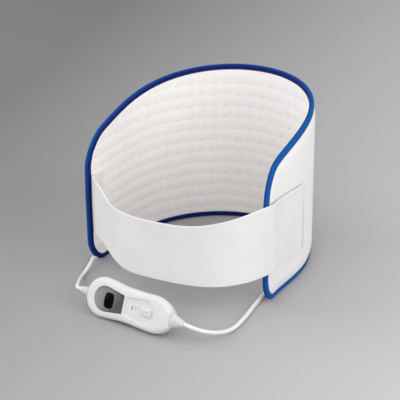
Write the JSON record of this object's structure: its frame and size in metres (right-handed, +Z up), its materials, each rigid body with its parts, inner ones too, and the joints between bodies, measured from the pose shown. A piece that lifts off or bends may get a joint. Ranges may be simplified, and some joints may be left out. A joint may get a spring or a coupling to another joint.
{
  "type": "heating belt with controller",
  "caption": "Quilted heating belt for the lower back, standing curved with blue edge tape, front strap, slide-switch hand controller and coiled mains lead.",
  "frame": {"origin": "on the floor under the middle of the belt's back, at the middle of the pad's thickness", "axes": "+Z up, +Y to the back of the belt, +X to the right as seen from the strap's side"},
  "size_m": [0.2972, 0.5258, 0.246],
  "materials": {
    "cover_fabric": "smooth white cloth",
    "quilt_fabric": "soft quilted white plush",
    "binding_tape": "blue woven edge tape",
    "strap_fabric": "white elastic webbing",
    "felt": "needled felt",
    "wire_sleeve": "silicone sleeve",
    "case_plastic": "satin white moulding",
    "panel_plastic": "dark grey",
    "window_gloss": "black gloss",
    "cord_sheath": "white sheath",
    "board": "green laminate",
    "dark_plastic": "black moulding",
    "steel": "plain metal"
  },
  "bodies": {
    "belt": {"outer_cover": "cover_fabric", "loop_patch": "cover_fabric", "inner_cover": "quilt_fabric", "edge_binding": "binding_tape", "front_strap": "strap_fabric", "filling_felt": "felt", "heating_wire": "wire_sleeve", "upper_case": "case_plastic", "lower_case": "case_plastic", "pad_side_boot": "case_plastic", "mains_side_boot": "case_plastic", "inlet_gland": "case_plastic", "plug_body": "case_plastic", "display_panel": "panel_plastic", "capacitor": "panel_plastic", "cord_clamp_pad_side": "panel_plastic", "cord_clamp_mains_side": "panel_plastic", "display_window": "window_gloss", "pad_lead": "cord_sheath", "mains_lead": "cord_sheath", "mains_coil": "cord_sheath", "mains_tail": "cord_sheath", "circuit_board": "board", "wire_joint_block": "dark_plastic", "thermal_cutout_left": "dark_plastic", "thermal_cutout_right": "dark_plastic", "switch_body": "dark_plastic", "digit_display": "dark_plastic", "triac": "dark_plastic", "coil_tie": "dark_plastic", "fuse": "steel", "case_screw_1": "steel", "case_screw_2": "steel", "case_screw_3": "steel", "case_screw_4": "steel", "plug_pin_1": "steel", "plug_pin_2": "steel"},
    "switch": {"slide_knob": "case_plastic"},
    "strap_end": {"strap_tab": "strap_fabric", "hook_patch": "strap_fabric"}
  },
  "joints": [
    {"name": "heat_switch", "type": "slide", "parent": "belt", "child": "switch", "axis": [-0.9903, 0.1392, 0], "range_m": [0, 0.016]},
    {"name": "strap_peel", "type": "hinge", "parent": "belt", "child": "strap_end", "pos_m": [0.1496, -0.27216, 0.10275], "axis": [0, 0, -1], "range_deg": [0, 100]}
  ]
}
